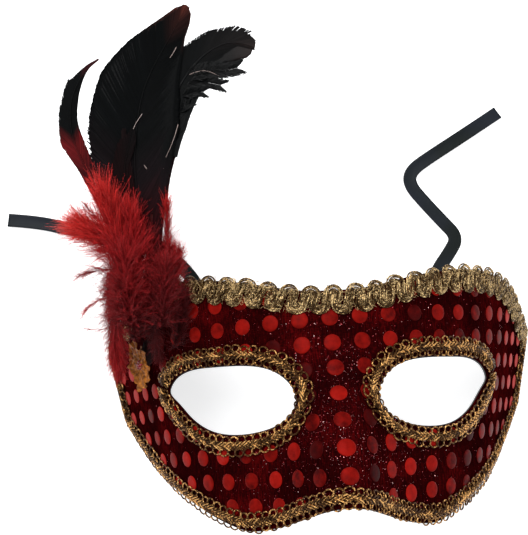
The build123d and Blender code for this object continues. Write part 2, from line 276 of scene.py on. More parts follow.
class Track:
    """A line laid on the mask's face, with places given along it, across it and above it."""

    def __init__(self, line):
        flat = spaced(line, 0.25)
        points = on_face(flat[:, 0], flat[:, 1], BRAID_FOOT)
        self.run = run_along(points)
        self.points, self.up = points, normal(flat[:, 0], flat[:, 1])
        self.aside = unit(np.cross(self.up, np.gradient(points, axis=0)))
        self.length = self.run[-1]

    def at(self, along, across, above):
        point, aside, up = (sample(table, self.run, along) for table in (self.points, self.aside, self.up))
        return point + aside * across[..., None] + up * above[..., None], up


TABLE_SHARE = FLARE_FROM + (APEX + ARCH * (math.sqrt(1 - FLARE_FROM**2) - 1) - TABLE_GAP) / FLANK
outline = HALF_OUTLINE + [(-x, y) for x, y in HALF_OUTLINE[-2:0:-1]]
outline = smooth_line(outline, OUTLINE_STEP, closed=True)      # clockwise from above: inside is on its right
at_table = TABLE_SHARE * (HALF_WIDTH + TAPER * outline[:, 1])
outline = np.column_stack([np.clip(outline[:, 0], -at_table, at_table), outline[:, 1]])
outline = spaced(outline, OUTLINE_STEP)


def eye_line(side, step=OUTLINE_STEP):
    return smooth_line([(side * x, y) for x, y in EYE], step, closed=True)


# ---- Materials ----
class Look:
    """A material: one Principled shader and the nodes that feed it."""

    def __init__(self, name, color, roughness, **sockets):
        self.material = bpy.data.materials.new(name)
        self.material.use_nodes = True
        self.inputs = self.material.node_tree.nodes["Principled BSDF"].inputs
        self.inputs["Base Color"].default_value = (*color, 1)
        self.inputs["Roughness"].default_value = roughness
        for key, value in sockets.items():
            self.inputs[key.replace("_", " ")].default_value = value

    def link(self, output, target):
        self.material.node_tree.links.new(output, target)

    def node(self, kind, inputs=(), **settings):
        """A new node with its settings, and with each input a value or another node's output."""
        made = self.material.node_tree.nodes.new(kind)
        for key, value in settings.items():
            setattr(made, key, value)
        for key, value in dict(inputs).items():
            if isinstance(value, bpy.types.NodeSocket):
                self.link(value, made.inputs[key])
            else:
                made.inputs[key].default_value = value
        return made

    def place(self, scale=(1, 1, 1)):
        """Object coordinates in millimetres, stretched."""
        coordinates = self.node("ShaderNodeTexCoord").outputs["Object"]
        to_mm = tuple(1000 * s for s in scale)
        return self.node("ShaderNodeMapping", {"Vector": coordinates, "Scale": to_mm}).outputs["Vector"]

    def noise(self, vector, scale, detail, roughness=0.5):
        inputs = {"Vector": vector, "Scale": scale, "Detail": detail, "Roughness": roughness}
        return self.node("ShaderNodeTexNoise", inputs).outputs["Fac"]

    def attribute(self, name):
        return self.node("ShaderNodeAttribute", attribute_name=name).outputs["Fac"]

    def maths(self, operation, a, b, c=0.0):
        return self.node("ShaderNodeMath", {0: a, 1: b, 2: c}, operation=operation).outputs[0]

    def weighted(self, a, a_share, b, b_share):
        return self.maths("MULTIPLY_ADD", a, a_share, self.maths("MULTIPLY", b, b_share))

    def ramp(self, factor, stops):
        """Colours between the stops, each a place with a colour or a grey level."""
        made = self.node("ShaderNodeValToRGB", {"Fac": factor})
        elements = made.color_ramp.elements
        while len(elements) < len(stops):
            elements.new(0.5)
        for element, (at, color) in zip(elements, stops):
            element.position = at
            element.color = (*color, 1) if isinstance(color, tuple) else (color, color, color, 1)
        return made.outputs["Color"]

    def vary(self, socket, factor, stops):
        self.link(self.ramp(factor, stops), self.inputs[socket])

    def shaded(self, color, shade):
        """The base colour is the colour times the shade."""
        both = self.node("ShaderNodeMix", {0: 1.0, 6: color, 7: shade}, data_type="RGBA", blend_type="MULTIPLY")
        self.link(both.outputs[2], self.inputs["Base Color"])

    def bump(self, level, distance, strength=0.8):
        inputs = {"Height": level, "Distance": distance * MM, "Strength": strength}
        self.link(self.node("ShaderNodeBump", inputs).outputs["Normal"], self.inputs["Normal"])


def gold_braid(name, dark, middle, painted_glint, painted_glint_from):
    """Metal thread wound round a cord: fine windings, tarnish, and painted glints, bright spots in its colour
    that stand in for light glinting from one thread to the next.
    """
    look = Look(name, middle, 0.34, Metallic=0.85)
    spot = look.place()
    fine = look.noise(spot, 1.7, 2, 0.7)
    tarnish_and_glint_spots = look.weighted(look.noise(spot, 0.3, 3), 0.35, fine, 1.0)
    shade = look.maths("MULTIPLY_ADD", look.attribute("tone"), 0.22, look.maths("SUBTRACT", tarnish_and_glint_spots, 0.2))
    # Dark tarnish at the low stop; the top stop is a painted glint, bright spots in the colour in place of
    # light glinting off the threads.
    look.vary("Base Color", shade, [(0.44, dark), (0.60, middle), (painted_glint_from, middle), (painted_glint_from + 0.08, painted_glint)])
    look.vary("Roughness", fine, [(0.35, 0.5), (0.65, 0.24)])
    look.bump(look.noise(spot, 4.5, 1), 0.16, 0.9)
    return look.material


def sequin_cloth():
    look = Look("sequin_cloth", (0.03, 0.002, 0.004), 0.7, Specular_IOR_Level=0.0)
    threads = look.noise(look.place((3.4, 0.35, 0.35)), 1.0, 2)
    rows = look.noise(look.place((0.5, 2.6, 2.6)), 1.0, 1)
    patches = look.noise(look.place(), 0.05, 3)
    weave = look.weighted(rows, 0.35, threads, 0.65)
    look.vary("Base Color", look.weighted(patches, 0.5, weave, 0.75), [
        (0.42, (0.003, 0.0004, 0.0006)), (0.64, (0.018, 0.0007, 0.0010)), (0.86, (0.09, 0.002, 0.0025)),
    ])
    look.vary("Roughness", weave, [(0.3, 0.85), (0.7, 0.65)])
    look.bump(weave, 0.25)
    return look.material


def sequin_foil():
    look = Look("sequin_foil", (0.40, 0.012, 0.008), 0.5, Metallic=0.1, Specular_IOR_Level=0.02)
    cloudy = look.noise(look.place(), 0.35, 3)
    # The chance attribute carries each sequin's lightness with its painted shade and painted reflection; the
    # pink top stop is a painted reflection, as at the temples.
    look.vary("Base Color", look.weighted(look.attribute("chance"), 0.75, cloudy, 0.5), [
        (0.22, (0.022, 0.0006, 0.0008)), (0.42, (0.05, 0.0014, 0.0014)), (0.60, (0.17, 0.004, 0.0025)),
        (0.82, (0.30, 0.007, 0.004)), (1.0, (0.35, 0.03, 0.026)),
    ])
    look.vary("Roughness", cloudy, [(0.3, 0.34), (0.7, 0.5)])
    look.bump(look.noise(look.place((1.6, 0.5, 0.5)), 1.0, 2), 0.10, 0.4)
    return look.material


def feather_finish(name, stops, roughness, coat=0.0, gloss=0.4):
    """Barb colours along the feather by tone, and lighter or darker from barb to barb by chance."""
    settings = {"Specular_IOR_Level": gloss, "Coat_Weight": coat, "Coat_Roughness": 0.3}
    look = Look(name, stops[-1][1], roughness, **settings)
    varied = look.ramp(look.attribute("chance"), [(0.0, 0.55), (1.0, 1.35)])
    look.shaded(look.ramp(look.attribute("tone"), stops), varied)
    rough = look.noise(look.place(), 1.8, 2)
    look.vary("Roughness", rough, [(0.3, roughness - 0.1), (0.7, roughness + 0.12)])
    return look.material


def felt(name, dark, light):
    look = Look(name, light, 0.9, Specular_IOR_Level=0.1)
    fibres = look.noise(look.place(), 2.2, 4, 0.7)
    look.vary("Base Color", fibres, [(0.3, dark), (0.7, light)])
    look.bump(fibres, 0.3)
    return look.material


def shell_finish():
    look = Look("shell_plastic", (0.02, 0.018, 0.018), 0.55, Specular_IOR_Level=0.4)
    grain = look.noise(look.place(), 0.9, 5, 0.65)
    haze = look.noise(look.place(), 0.05, 3)
    look.vary("Base Color", haze, [(0.3, (0.014, 0.012, 0.013)), (0.7, (0.035, 0.03, 0.03))])
    look.vary("Roughness", grain, [(0.3, 0.45), (0.7, 0.68)])
    look.bump(grain, 0.12, 0.6)
    return look.material


def ribbon_finish():
    """Satin: close warp ribs along the ribbon, with a bluish and a greenish cast."""
    look = Look("ribbon_satin", (0.02, 0.025, 0.03), 0.5, Specular_IOR_Level=0.14)
    cast = look.noise(look.place(), 0.035, 2)
    inputs = {"Vector": look.place((0.6, 0.9, 0.6)), "Scale": 0.9, "Distortion": 2.0, "Detail": 2.0}
    ribs = look.node("ShaderNodeTexWave", inputs).outputs["Fac"]
    base = look.ramp(cast, [(0.38, (0.004, 0.007, 0.0065)), (0.62, (0.009, 0.012, 0.018))])
    look.shaded(base, look.ramp(ribs, [(0.0, 0.8), (1.0, 1.15)]))
    look.vary("Roughness", ribs, [(0.0, 0.45), (1.0, 0.6)])
    look.bump(ribs, 0.05, 0.4)
    return look.material


def mottled(name, dark, light, roughness, scale, depth, **sockets):
    look = Look(name, light, roughness, **sockets)
    cloud = look.noise(look.place(), scale, 4, 0.6)
    look.vary("Base Color", cloud, [(0.32, dark), (0.68, light)])
    look.vary("Roughness", cloud, [(0.3, roughness * 1.3), (0.7, roughness * 0.8)])
    look.bump(cloud, depth)
    return look.material


def finish_piece(piece, body, slot, *nodes):
    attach(piece, body)
    if nodes:
        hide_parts(*nodes)
    return piece


# ---- Ribbons ----
ribbon_satin = ribbon_finish()
ROUTES = {
    "ribbon_left": [
        (-81.8, 5), (-81.3, 14.5), (-75.5, 24.5), (-65, 31), (-55, 35.5), (-49.5, 44), (-52.5, 54.5),
        (-59, 63.5), (-67.5, 71.5), (-80, 77.5), (-95, 80), (-110, 83), (-124, 87), (-137.5, 88.5),
    ],
    "ribbon_right": [
        (81.8, 5), (81.3, 14.5), (76, 24), (67, 31.5), (57.5, 36.5), (52, 45.5), (55.5, 56.5), (61.5, 64),
        (66.3, 71.5), (59.5, 79.6), (52.3, 88.5), (46, 97), (47, 103.5), (57, 110), (73.5, 119.8),
        (90, 130),
    ],
}
ROUND_FAINTLY = 0.35     # how far a ribbon's edges stand off the table
RIBBON_COLUMNS = 9       # points across each face
RIBBON_HALF = 0.12       # half its thickness


def route_line(name, points):
    """The points, in millimetres, of the smooth curve that a ribbon's route controls."""
    curve = bpy.data.curves.new(name + "_route", "CURVE")
    curve.dimensions = "3D"
    curve.resolution_u = 24
    spline = curve.splines.new("NURBS")
    spline.points.add(len(points) - 1)
    for point, (x, y) in zip(spline.points, points):
        point.co = (x * MM, y * MM, RIBBON_Z * MM, 1)
    spline.order_u = 3
    spline.use_endpoint_u = True
    holder = bpy.data.objects.new(name + "_route", curve)
    mesh = bpy.data.meshes.new_from_object(holder)
    line = np.array([v.co for v in mesh.vertices], float) / MM
    bpy.data.objects.remove(holder)
    bpy.data.curves.remove(curve)
    bpy.data.meshes.remove(mesh)
    return line


for name, points in ROUTES.items():
    line = spaced(route_line(name, points), 1.0)
    ahead = unit(np.gradient(line, axis=0))
    aside = np.cross(UP, ahead)
    across = np.linspace(-1, 1, RIBBON_COLUMNS)
    run = np.arange(len(line))
    lift = ROUND_FAINTLY * (1 + np.sin(run / 17.0))
    rows = []
    for face in (-1, 1):
        sag = line[:, None] + aside[:, None] * across[:, None] * (RIBBON_WIDTH / 2)
        sag[..., 2] += RIBBON_HALF * face + lift[:, None] * across**2 * 0.6 + 0.1
        rows.append(sag if face < 0 else sag[:, ::-1])
    ribbon = Shape()
    ribbon.add(np.concatenate(rows, axis=1)[None], band_quads(len(line), RIBBON_COLUMNS))
    made = finish_piece(ribbon.piece(name + "_satin", ribbon_satin), "mask", "ribbon", name)


# ---- The mask body: shell, cloth, pad and patches keep their CAD shapes ----
def dress(name, material):
    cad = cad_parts[name].data
    cad.materials.clear()
    cad.materials.append(material)


dress("mask_shell", shell_finish())
dress("fabric_cover", sequin_cloth())
pad_felt = felt("felt", (0.006, 0.0004, 0.0006), (0.022, 0.001, 0.0015))
patch_felt = felt("patch_felt", (0.02, 0.02, 0.022), (0.07, 0.07, 0.075))
dress("glue_pad", pad_felt)
dress("ribbon_patch_left", patch_felt)
dress("ribbon_patch_right", patch_felt)

# ---- Braids: cords that run in loops along the borders ----
THREAD = 0.30            # radius of the narrow braid's cord
STROKE_THREAD = 0.27     # of the strokes between the loops
CORE_THREAD = 0.42       # of the two strands under them
CORE_TWIST = 2.4         # length of one turn of those strands
LOOP_PITCH = 3.45
LOOP = [                 # one edge loop, along and across from the braid's middle
    (-2.3, 0.15), (-0.4, 0.7), (1.15, 1.55), (1.5, 2.65), (0.55, 3.4),
    (-0.75, 3.25), (-1.45, 2.35), (-0.95, 1.35), (0.5, 0.7),
]
LOOP_HEIGHTS = [0.9, 1.1, 1.2, 0.9, 0.7, 0.6, 0.5, 0.55, 0.75]
SCROLL_PITCH = 8.0
SCROLL_RADIUS = 2.0      # of the middle of the band of cords
SCROLL_HALF = 1.75       # from the braid's middle to the middle of a scroll
SCROLL_CORDS = (-1.42, -0.71, 0.0, 0.71, 1.42)
SCROLL_THREAD = 0.34
STRAY_THREAD = 0.09
STRAYS_PER_SCROLL = 40
OVERHANG = 0.5           # how far the narrow braid stands out past the mask's edges
WIDE_OVERHANG = 1.7


def lay(shape, track, along, across, above, thread, **settings):
    """One cord, or a row of cords, laid on a track."""
    points, ups = track.at(along, across, above)
    if along.ndim == 1:
        points, ups = points[None], ups[None]
    cords(shape, points, ups, thread, **settings)


def narrow_braid(shape, track, seed):
    """Two looped edge cords whose inner strokes meet in a wheat-ear, over a twisted core."""
    loops = round(track.length / LOOP_PITCH)
    pitch = track.length / loops
    draw = np.random.default_rng(seed)
    form = np.array(LOOP)
    for side in (-1, 1):
        size = 1 + draw.uniform(-0.10, 0.08, (loops, 1))
        swing = draw.uniform(-0.22, 0.22, (loops, 1))
        along = pitch * (np.arange(loops)[:, None] + 0.5 + 0.13 * side) + form[:, 0] * size + swing
        across = form[:, 1] * size
        above = np.tile(LOOP_HEIGHTS, (loops, 1)) + 0.1 * side + draw.uniform(-0.1, 0.1, (loops, 1))
        path = smooth_line(np.stack([along, across, above], axis=-1).reshape(-1, 3), 0.26)
        path = path[(path[:, 0] > 0) & (path[:, 0] < track.length)]
        along, across, above = path.T
        knots = np.arange(2 * loops + 1)
        tone = 0.7 + 0.5 * np.interp(along / pitch * 2, knots, draw.uniform(0, 1, len(knots)))
        lay(shape, track, along, side * across, above, THREAD, tone=tone[None], twist=0.7)
    start = (np.arange(loops)[:, None] + 0.2) * pitch
    t = np.linspace(0, 1, 10)[None]
    for side in (-1, 1):
        for shift in (0.0, 0.5):
            along = np.clip(start + pitch * (shift + 0.95 * t), 0, track.length)
            across = side * (1.75 * (1 - t) ** 1.2 - 0.3)
            above = 1.3 + 0.45 * np.sin(t * math.pi)
            tone = draw.uniform(0.5, 1.5, (loops, 1))
            lay(shape, track, along, across, above, STROKE_THREAD, tone=tone, twist=0.8)
    for strand in range(2):
        along = np.arange(0, track.length, 0.45)
        phase = along * math.tau / CORE_TWIST + strand * math.pi
        lay(shape, track, along, 0.5 * np.cos(phase), 0.55 + 0.35 * np.sin(phase), CORE_THREAD, tone=0.0)


def scroll_line(scrolls):
    """The middle of the band of cords: half rounds, one up and one down, joined by straights."""
    turn = np.linspace(0, math.pi, 24)
    round_up = np.column_stack([-np.cos(turn), np.sin(turn)]) * SCROLL_RADIUS
    parts = []
    for i in range(scrolls):
        parts.append(round_up + [SCROLL_PITCH * i, SCROLL_HALF])
        parts.append(round_up * [1, -1] + [SCROLL_PITCH * (i + 0.5), -SCROLL_HALF])
    line = spaced(np.concatenate(parts), 0.25)
    line[:, 0] += 0.55 * np.sin(line[:, 1] * math.pi / 5)
    return line


def scroll_braid(shape, track, seed):
    """Side by side cords that snake along the braid in close scrolls."""
    draw = np.random.default_rng(seed)
    scrolls = round(track.length / SCROLL_PITCH)
    line = scroll_line(scrolls)
    ahead = unit(np.gradient(line, axis=0))
    stretch = track.length / (scrolls * SCROLL_PITCH)
    beat = line[:, 0] / SCROLL_PITCH * 4
    knots = np.arange(-4, 4 * scrolls + 6)
    uneven = np.interp(beat, knots, draw.uniform(-0.35, 0.35, len(knots)))
    size = 1 + np.interp(beat / 2, knots, draw.uniform(-0.06, 0.05, len(knots)))
    for row, offset in enumerate(SCROLL_CORDS):
        u = (line[:, 0] - ahead[:, 1] * offset + uneven + 0.5 * SCROLL_PITCH) * stretch
        v = (line[:, 1] + ahead[:, 0] * offset) * size
        w = 0.85 + 0.3 * np.cos(line[:, 1] * 0.9 + row) + 0.28 * (row % 2)
        inside = (u > 0) & (u < track.length)
        spots = np.arange(8 * scrolls + 12)
        tone = 0.4 + np.interp(beat[inside] * 2, spots, draw.uniform(0, 1, len(spots)))[None]
        lay(shape, track, u[inside], v[inside], w[inside], SCROLL_THREAD, tone=tone, twist=0.8)
    stray = STRAYS_PER_SCROLL * scrolls
    u = draw.uniform(0, track.length, (stray, 1))
    v = draw.uniform(-4.6, 4.6, (stray, 1))
    way = draw.uniform(0, math.tau, (stray, 1))
    t = np.linspace(-1, 1, 6)[None]
    long = draw.uniform(0.5, 1.3, (stray, 1))
    bow = draw.uniform(-0.8, 0.8, (stray, 1)) * t**2
    along = np.clip(u + long * (np.cos(way) * t - np.sin(way) * bow), 0, track.length)
    across = v + long * (np.sin(way) * t + np.cos(way) * bow)
    # Their high tone puts most strays in the painted glint colour: bright wisps that stand in for glinting
    # thread.
    lay(shape, track, along, across, 1.55 + 0.35 * (1 - t**2), STRAY_THREAD, sides=3, tone=1.3)


antique = gold_braid(
    "antique_gold_braid", (0.006, 0.003, 0.001), (0.080, 0.040, 0.012), (0.80, 0.57, 0.27), 0.71
)
copper = gold_braid("gold_braid", (0.006, 0.002, 0.001), (0.070, 0.025, 0.005), (0.85, 0.46, 0.15), 0.72)

inside_narrow = inset(outline, OVERHANG - NARROW_BRAID / 2)
inside_wide = inset(outline, WIDE_OVERHANG - WIDE_BRAID / 2)
start_low = np.argmax((outline[:, 0] > 0) & (outline[:, 1] < BRAID_JOIN))
lower_part = np.roll(np.arange(len(outline) - 1), -start_low)
lower = inside_narrow[:-1][lower_part]
low = outline[:-1][lower_part][:, 1] < BRAID_JOIN
edge_track = Track(lower[:np.argmin(low)])
wide = inside_wide[:-1][lower_part]
top_track = Track(wide[np.argmin(low):])

eye_inset = EYE_RIM + (NARROW_BRAID - OVERHANG) / 2
eye_tracks = [Track(inset(eye_line(side), -side * eye_inset)) for side in (-1, 1)]
for name, kind, make, track, seed, material in (
    ("edge_braid", "_loops", narrow_braid, edge_track, 11, copper),
    ("top_braid", "_scrolls", scroll_braid, top_track, 12, antique),
    ("eye_braid_left", "_loops", narrow_braid, eye_tracks[0], 12, copper),
    ("eye_braid_right", "_loops", narrow_braid, eye_tracks[1], 14, copper),
):
    braid = Shape()
    make(braid, track, seed)
    finish_piece(braid.piece(name + kind, material), "mask", "gold_braid", name)

# ---- Glitter flakes strewn on the cloth ----
FLAKES = 15000
FLAKE_LIFT = 0.62


def within(x, y, ring):
    """True for the points inside a closed line."""
    inside = np.zeros(len(x), bool)
    for (x0, y0), (x1, y1) in zip(ring, np.roll(ring, -1, axis=0)):
        crosses = (y0 > y) != (y1 > y)
        with np.errstate(divide="ignore", invalid="ignore"):
            inside ^= crosses & (x < (x1 - x0) * (y - y0) / (y1 - y0) + x0)
    return inside


def glitter():
    draw = np.random.default_rng(31)
    x, y = draw.uniform(-90, 90, FLAKES), draw.uniform(-45, 46, FLAKES)
    likely = 0.10 + 0.90 * np.exp(-((x / 30) ** 2) - ((y + 14) / 36) ** 2)
    kept = within(x, y, inset(outline, -2.0)[::6]) & (draw.uniform(0, 1, FLAKES) < likely)
    for side in (-1, 1):
        kept &= ~within(x, y, eye_line(side, 2.0))
    x, y = x[kept], y[kept]
    middle, up = on_face(x, y, FLAKE_LIFT), normal(x, y)
    count = len(x)
    lean = unit(up + draw.normal(0, 0.22, (count, 3)))
    first = unit(np.cross(lean, [0.3, 1, 0.1]))
    second = np.cross(lean, first)
    size = (0.06 + 0.13 * draw.uniform(0, 1, count) ** 3)[:, None]
    corners = np.arange(4) * math.tau / 4
    ring = [middle + size * (first * math.cos(a) + second * math.sin(a)) for a in corners]
    flakes = Shape()
    faces = np.arange(4 * count).reshape(-1, 4)
    flakes.add(np.stack(ring, axis=1), faces, chance=draw.uniform(0, 1, count).repeat(4))
    look = Look("glitter_foil", (0.8, 0.5, 0.5), 0.3, Metallic=0.7)
    look.vary("Base Color", look.attribute("chance"), [
        (0.0, (0.35, 0.01, 0.02)), (0.6, (0.7, 0.12, 0.14)), (1.0, (1.0, 0.7, 0.68)),
    ])
    return flakes.piece("glitter_flakes", look.material, smooth=False)


finish_piece(glitter(), "mask", "sequin_cloth")

# ---- Sequins: foil discs in slanting rows, whose edges go under the braids ----
SEQUIN_RADIUS = 3.0
SEQUIN_COLUMN = 10.7
SEQUIN_ROW = 9.03
SEQUIN_FIRST = (-0.8, 19.0)
SEQUIN_SLANT = 0.036
SEQUIN_HIDDEN = 3.4      # a sequin whose middle is this near an edge is all under the braid
PAD_AT = (-73.0, 22.0)
PAD_REACH = 8.8
DISC_SIDES = 36
DISC_RINGS = [           # share of the radius, height over the shell's face
    (0.01, 0.92), (0.5, 0.92), (0.86, 0.86), (0.97, 0.76),
    (1.0, 0.68), (0.97, 0.62), (0.5, 0.62), (0.01, 0.62),
]


def arc_place(u, v):
    """How far from the middle line a point is whose arc length along the face is u, on level v."""
    x = np.arange(0, 100, 0.25)
    along = np.concatenate([[0], np.cumsum(np.hypot(np.diff(x), np.diff(height(x, v))))])
    return math.copysign(np.interp(abs(u), along, x), u)


def sequin_centres():
    cos, sin = math.cos(SEQUIN_SLANT), math.sin(SEQUIN_SLANT)
    u0, v0 = SEQUIN_FIRST
    for column in range(-11, 12):
        for row in range(-8, 4):
            u = u0 + column * SEQUIN_COLUMN * cos - row * SEQUIN_ROW * sin
            v = v0 + row * SEQUIN_ROW * cos + column * SEQUIN_COLUMN * sin
            yield arc_place(u, v), v


def sequins():
    draw = np.random.default_rng(32)
    centres = np.array(list(sequin_centres()))
    kept = within(centres[:, 0], centres[:, 1], inset(outline, -SEQUIN_HIDDEN)[::4])
    for side in (-1, 1):
        hole = inset(eye_line(side), -side * SEQUIN_HIDDEN)[::4]
        kept &= ~within(centres[:, 0], centres[:, 1], hole)
    kept &= np.hypot(centres[:, 0] - PAD_AT[0], centres[:, 1] - PAD_AT[1]) > PAD_REACH
    turn = np.arange(DISC_SIDES) * math.tau / DISC_SIDES
    share, above = np.array(DISC_RINGS).T[:, :, None]
    shape = Shape()
    for x, y in centres[kept]:
        up = normal(x, y)
        first = unit(np.cross([0, 1.0, 0], up))
        second = np.cross(up, first)
        size = SEQUIN_RADIUS * draw.uniform(0.96, 1.02)
        flat = on_face(x, y) + size * (
            first * (share * np.cos(turn))[..., None] + second * (share * np.sin(turn))[..., None]
        )
        # Painted shade and painted reflection, on top of random spread: sequins darker round x = 56 and on the
        # nose's flanks below y = 10, where shade falls, and lighter at the temples, where they catch
        # reflections; one in ten is dimmer at random.
        lightness = 0.58 - 0.36 * math.exp(-(((x - 56) / 14) ** 2)) + 0.5 * max(abs(x) - 71, 0) / 8
        lightness -= 0.30 * math.exp(-(((abs(x) - 10) / 4) ** 2)) * (y < 10)
        lightness = np.clip(lightness + draw.uniform(-0.20, 0.20) - 0.3 * (draw.uniform() < 0.10), 0, 1)
        points = on_face(flat[..., 0], flat[..., 1], above)
        shape.add(points, grid_quads(1, len(above), DISC_SIDES, True), chance=lightness)
    return shape.piece("sequin_discs", sequin_foil())


finish_piece(sequins(), "mask", "sequin", *sorted(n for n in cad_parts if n.startswith("sequins_")))


# ---- Flower: crumpled lame petals round a cluster of beads ----
PETALS = 5
BEADS = ((1, 0.0, 1.7, 0.75), (5, 1.2, 1.35, 0.6), (8, 1.8, 0.9, 0.42))      # count, spread, lift, radius


def flower_place():
    middle = on_face(*FLOWER_AT, FLOWER_LIFT)
    up = unit(normal(*np.array(FLOWER_AT)) + [0.25, 0, 0])
    first = unit(np.array([0, 1, 0]) - up * up[1])
    return middle, first, np.cross(up, first), up


def petals():
    middle, first, second, up = flower_place()
    shape = Shape()
    draw = np.random.default_rng(41)
    rings, spokes = 14, 36
    ro = np.linspace(0.02, 1, rings)[:, None]
    stretch = np.eye(3) + 0.35 * np.outer(first, first)
    a = np.linspace(0, math.tau, spokes, endpoint=False)[None]
    for i in range(PETALS):
        way = math.radians(20 + 72 * i)
        out = first * math.cos(way) + second * math.sin(way)
        wide = np.cross(up, out)
        ruffle = 1 + 0.13 * np.sin(5 * a + i) + 0.08 * np.sin(9 * a + 2 * i)
        reach = draw.uniform(0.85, 1.1)
        u, v = ro * np.cos(a) * ruffle, ro * np.sin(a) * ruffle
        crease = 0.42 * np.sin(7 * v + 2.2 * u + i) * ro + 0.24 * np.sin(13 * v - 5 * u + 2 * i) * ro
        cup = 1.0 * ro**2 * (0.6 + 0.4 * np.cos(a)) + 0.35 * (1 - np.abs(v)) + draw.uniform(-0.2, 0.3)
        for face in (-1, 1):
            lift = 0.5 + cup + crease + face * 0.16 * np.sqrt(np.clip(1 - ro**2, 0, 1) + 0.02)
            points = (
                middle + reach * (out * (3.9 + 3.3 * u)[..., None] + wide * (3.0 * v)[..., None]) @ stretch
                + up * lift[..., None]
            )
            faces = grid_quads(1, rings, spokes, True)
            shape.add(points, faces if face > 0 else faces[:, ::-1], tone=0.5 + crease)
    return shape.piece("flower_petals_lame", mottled(
        "gold_lame", (0.05, 0.009, 0.001), (0.56, 0.185, 0.018), 0.42, 0.75, 0.45, Metallic=0.2,
        Specular_IOR_Level=0.3))


def ball(shape, centre, radius, axes):
    rings, spokes = 9, 14
    lat = np.linspace(0, math.pi, rings)[:, None]
    lon = np.linspace(0, math.tau, spokes, endpoint=False)[None]
    local = np.stack([np.sin(lat) * np.cos(lon), np.sin(lat) * np.sin(lon), np.cos(lat) + 0 * lon], axis=-1)
    shape.add(centre + radius * local @ np.array(axes), grid_quads(1, rings, spokes, True))


def beads():
    middle, first, second, up = flower_place()
    shape = Shape()
    for count, spread, lift, radius in BEADS:
        for i in range(count):
            way = i * math.tau / count + spread
            spot = middle + spread * (first * math.cos(way) + second * math.sin(way)) + up * lift
            ball(shape, spot, radius, (first, second, up))
    return shape.piece("flower_beads", mottled(
        "red_bead", (0.10, 0.004, 0.006), (0.34, 0.012, 0.014), 0.16, 0.8, 0.05, Coat_Weight=0.6))


finish_piece(petals(), "mask", "gold_flower", "flower_petals")
finish_piece(beads(), "mask", "flower_bead", "flower_centre")

# ---- Thread binding ----
binding_foot, hinge = on_face(*BINDING_FOOT, BINDING_LIFT), on_face(*HINGE_AT, BINDING_LIFT)
binding_way = unit(hinge - binding_foot)
binding_side = unit(np.cross(binding_way, UP))
binding_up = np.cross(binding_side, binding_way)
BINDING_TURNS = 26
STEPS_PER_TURN = 22
BINDING_THREAD = 0.27


def binding():
    shape = Shape()
    length = np.linalg.norm(hinge - binding_foot) - 0.7
    turn = np.arange(0, BINDING_TURNS * math.tau, math.tau / STEPS_PER_TURN)
    run = turn / turn[-1] * (length - 0.5) + 0.25
    swell = 1.72 + 0.12 * np.sin(run * 1.7) + 0.05 * np.sin(run * 5.1)
    out = binding_side * np.cos(turn)[:, None] + binding_up * np.sin(turn)[:, None]
    line = binding_foot + binding_way * run[:, None] + out * swell[:, None]
    cords(shape, line[None], out[None], BINDING_THREAD)
    core = binding_foot + binding_way * np.linspace(0.1, length - 0.1, 8)[:, None]
    ups = np.broadcast_to(binding_up, core.shape)[None]
    cords(shape, core[None], ups, [1.0, 1.5, 1.6, 1.6, 1.6, 1.6, 1.5, 1.0], 16)
    thread = felt("binding_thread", (0.06, 0.004, 0.006), (0.2, 0.012, 0.016))
    return shape.piece("quill_binding_thread", thread)


finish_piece(binding(), "mask", "thread", "quill_binding")


# ---- Plume ----
def plume_height(y):
    return PLUME_TOP - PLUME_DROP * np.exp(-(y - PLUME_ROOT) / PLUME_REACH)


def raised(flat, lift):
    """Points of the plume's arched sheet, lifted."""
    return np.stack([flat[..., 0], flat[..., 1], plume_height(flat[..., 1]) + lift], axis=-1)


def barbules(shape, lines, length, spacing, draw, tone, chance, lean=0.7, base=0.035):
    """Fine hairs along both sides of strands (n, m, 3)."""
    n, m, _ = lines.shape
    each = max(2, int(np.mean(np.linalg.norm(np.diff(lines, axis=1), axis=2).sum(1)) / spacing))
    at = (np.arange(each)[None] + draw.uniform(0, 1, (n, each))) / each * (m - 1.001)
    low = at.astype(int)
    part = (at - low)[..., None]
    rows = np.arange(n)[:, None]
    root = lines[rows, low] * (1 - part) + lines[rows, low + 1] * part
    ahead = unit(lines[rows, low + 1] - lines[rows, low])
    out = draw.normal(0, 1, (n, each, 3))
    out = unit(out - ahead * (out * ahead).sum(-1, keepdims=True))
    share = at / (m - 1)
    far = length * draw.uniform(0.5, 1.0, (n, each)) * (1 - 0.55 * share)
    tip = root + (out + ahead * lean) * far[..., None]
    foot = np.cross(out, ahead) * base
    points = np.stack([root - foot, root + foot, tip], axis=2)
    triangles = np.arange(n * each * 3).reshape(-1, 3)
    tones = np.broadcast_to(tone, (n, m))[rows, low]
    lucks = np.broadcast_to(chance, (n, m))[rows, low]
    tones, lucks = tones[..., None].repeat(3, 2), lucks[..., None].repeat(3, 2)
    shape.add(points, triangles=triangles, tone=tones, chance=lucks)


STEP = 0.4               # between points along a feather's shaft
WEB_COLUMNS = 13         # points across the web
FORWARD = 1.12           # a barb ends this much further ahead than its slant alone takes it


